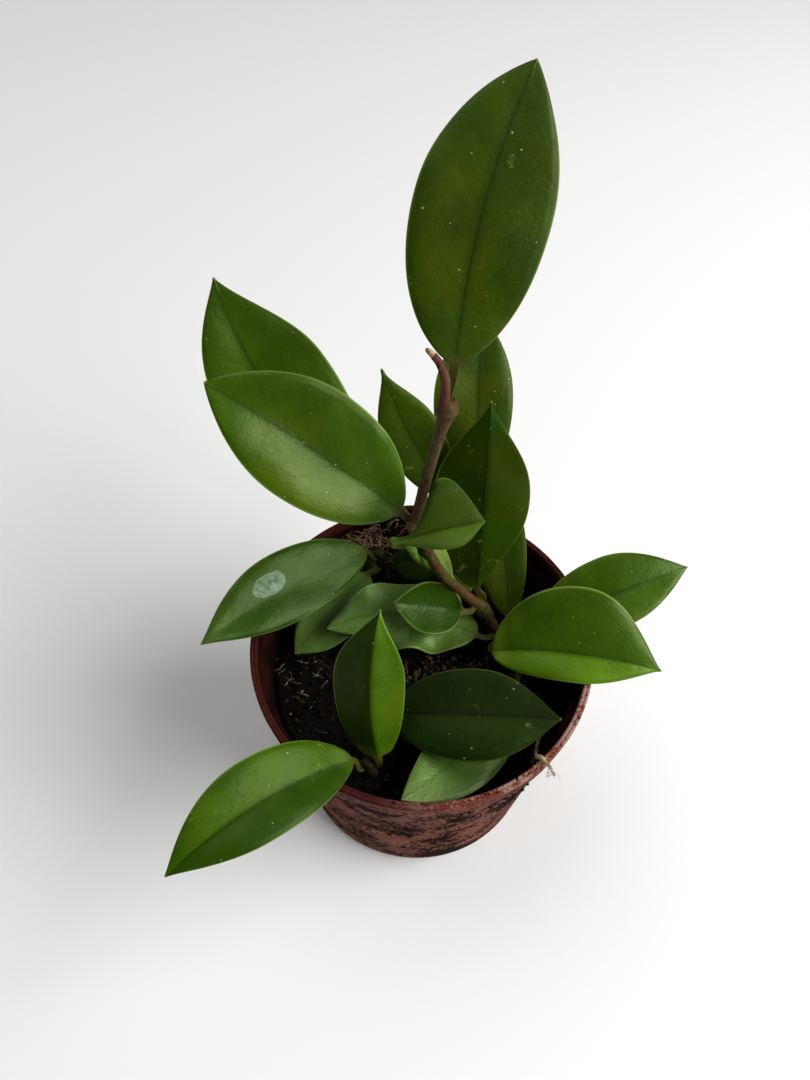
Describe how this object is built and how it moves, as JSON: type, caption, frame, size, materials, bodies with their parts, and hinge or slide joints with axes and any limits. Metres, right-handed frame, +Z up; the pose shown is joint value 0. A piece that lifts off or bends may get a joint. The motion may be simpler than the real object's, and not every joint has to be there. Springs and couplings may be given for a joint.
{
  "type": "potted hoya plant",
  "caption": "Young wax plant with thick glossy green leaves on short stems, rooted in soil in a round tapered nursery pot.",
  "frame": {"origin": "centre of the pot's foot, in the plane that the pot rests on", "axes": "+Z up; -Y is the side that the main view looks from, and +X is to its right"},
  "size_m": [0.1677, 0.1769, 0.2665],
  "materials": {
    "pot": "matte",
    "soil": "matte",
    "stem": "matte",
    "green_shoot": "satin",
    "root": "matte",
    "leaf": "gloss"
  },
  "bodies": {
    "root": {"pot": "pot", "soil": "soil", "main_stem": "stem", "front_stem": "stem", "back_left_stem": "stem", "back_stem": "stem", "right_stem": "stem", "side_shoot": "green_shoot", "dry_root": "root", "leaf_top": "leaf", "leaf_upper_left": "leaf", "leaf_upper_back_left": "leaf", "leaf_shoot_small": "leaf", "leaf_centre_fold": "leaf", "leaf_centre_right": "leaf", "leaf_back_centre": "leaf", "leaf_back_right": "leaf", "leaf_node_small": "leaf", "leaf_new_pale": "leaf", "leaf_right_fold": "leaf", "leaf_right_back": "leaf", "leaf_mid_wavy": "leaf", "leaf_front_upright": "leaf", "leaf_soil_left": "leaf", "leaf_soil_back": "leaf", "leaf_left": "leaf", "leaf_front_right": "leaf", "leaf_front_rim": "leaf", "leaf_front_left": "leaf", "leaf_back_dark": "leaf"}
  },
  "joints": []
}
